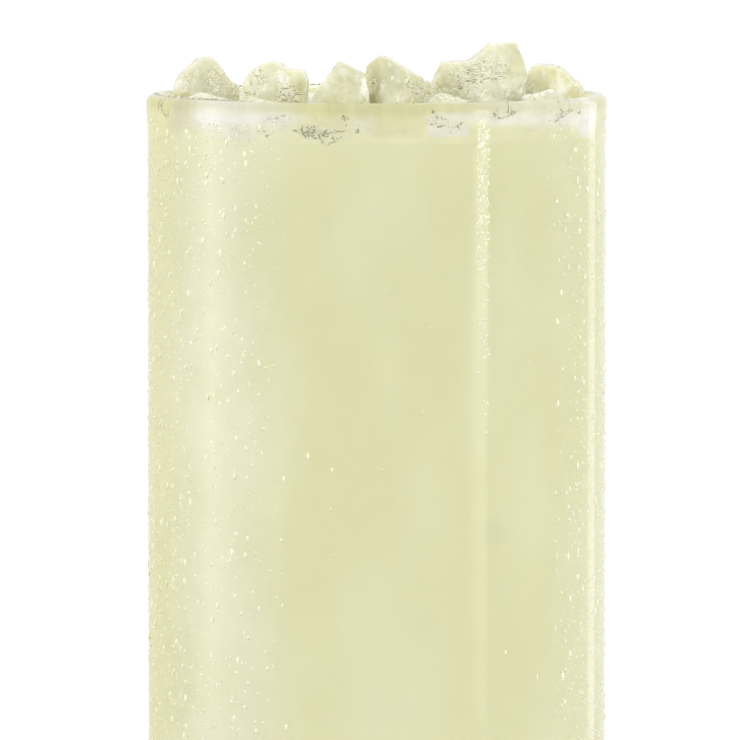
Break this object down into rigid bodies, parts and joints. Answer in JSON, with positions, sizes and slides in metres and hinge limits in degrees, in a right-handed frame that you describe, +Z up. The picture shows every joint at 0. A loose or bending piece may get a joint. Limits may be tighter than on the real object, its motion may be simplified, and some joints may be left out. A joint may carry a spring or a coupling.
{
  "type": "glass of lemonade",
  "caption": "Tall straight drinking glass of cloudy pale yellow lemonade, filled to just under the rim, with lumps of broken ice standing above it.",
  "frame": {"origin": "centre of the glass's foot, on the surface that it stands on", "axes": "+Z up along the glass's axis; the side seen first faces -Y, with +X to its right"},
  "size_m": [0.0726, 0.0726, 0.1636],
  "materials": {
    "glass": "clear, polished, wet with condensation",
    "drink": "cloudy liquid",
    "ice": "broken, wet ice"
  },
  "bodies": {
    "root": {"glass": "glass", "lemonade": "drink", "ice_01": "ice", "ice_02": "ice", "ice_03": "ice", "ice_04": "ice", "ice_05": "ice", "ice_06": "ice", "ice_07": "ice", "ice_08": "ice", "ice_09": "ice", "ice_10": "ice", "ice_11": "ice", "ice_12": "ice", "ice_13": "ice", "ice_14": "ice", "ice_15": "ice", "ice_16": "ice", "ice_17": "ice", "ice_18": "ice", "ice_19": "ice", "ice_20": "ice", "ice_21": "ice", "ice_22": "ice", "ice_23": "ice", "ice_24": "ice"}
  },
  "joints": []
}
